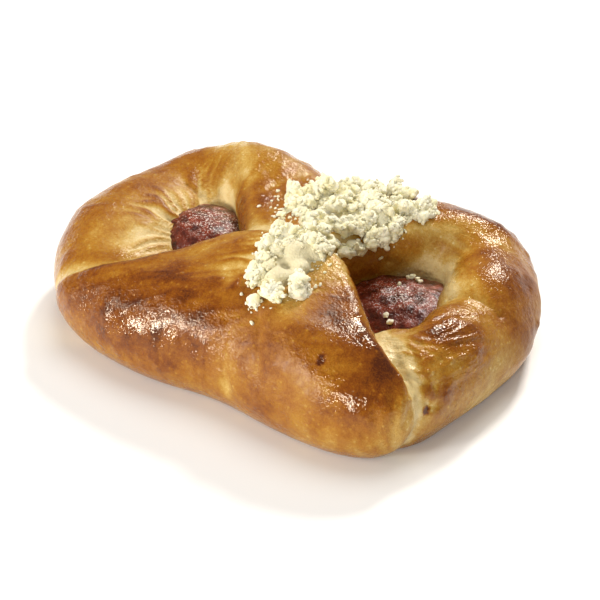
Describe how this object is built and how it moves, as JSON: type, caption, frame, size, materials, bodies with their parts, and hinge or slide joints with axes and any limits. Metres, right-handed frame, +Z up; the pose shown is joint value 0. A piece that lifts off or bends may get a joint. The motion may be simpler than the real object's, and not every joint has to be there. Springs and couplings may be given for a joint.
{
  "type": "jam turnover",
  "caption": "Glazed yeast-dough pastry with flaps folded over jam, jam showing in a pit at each end, and butter crumble across the fold.",
  "frame": {"origin": "under the middle of the pastry's extent, on the flat underside it rests on", "axes": "+X along the pastry from the left pit to the right pit, +Y from the front flap to the back flap, +Z up"},
  "size_m": [0.1346, 0.0944, 0.0419],
  "materials": {
    "crust": "golden-brown baked crust with a glossy egg glaze, paler in the folds",
    "jam": "dark red-brown set jam with a sugary gloss",
    "crumble": "pale yellow butter crumble, dry and matt"
  },
  "bodies": {
    "root": {"dough": "crust", "jam": "jam", "crumble": "crumble"}
  },
  "joints": []
}
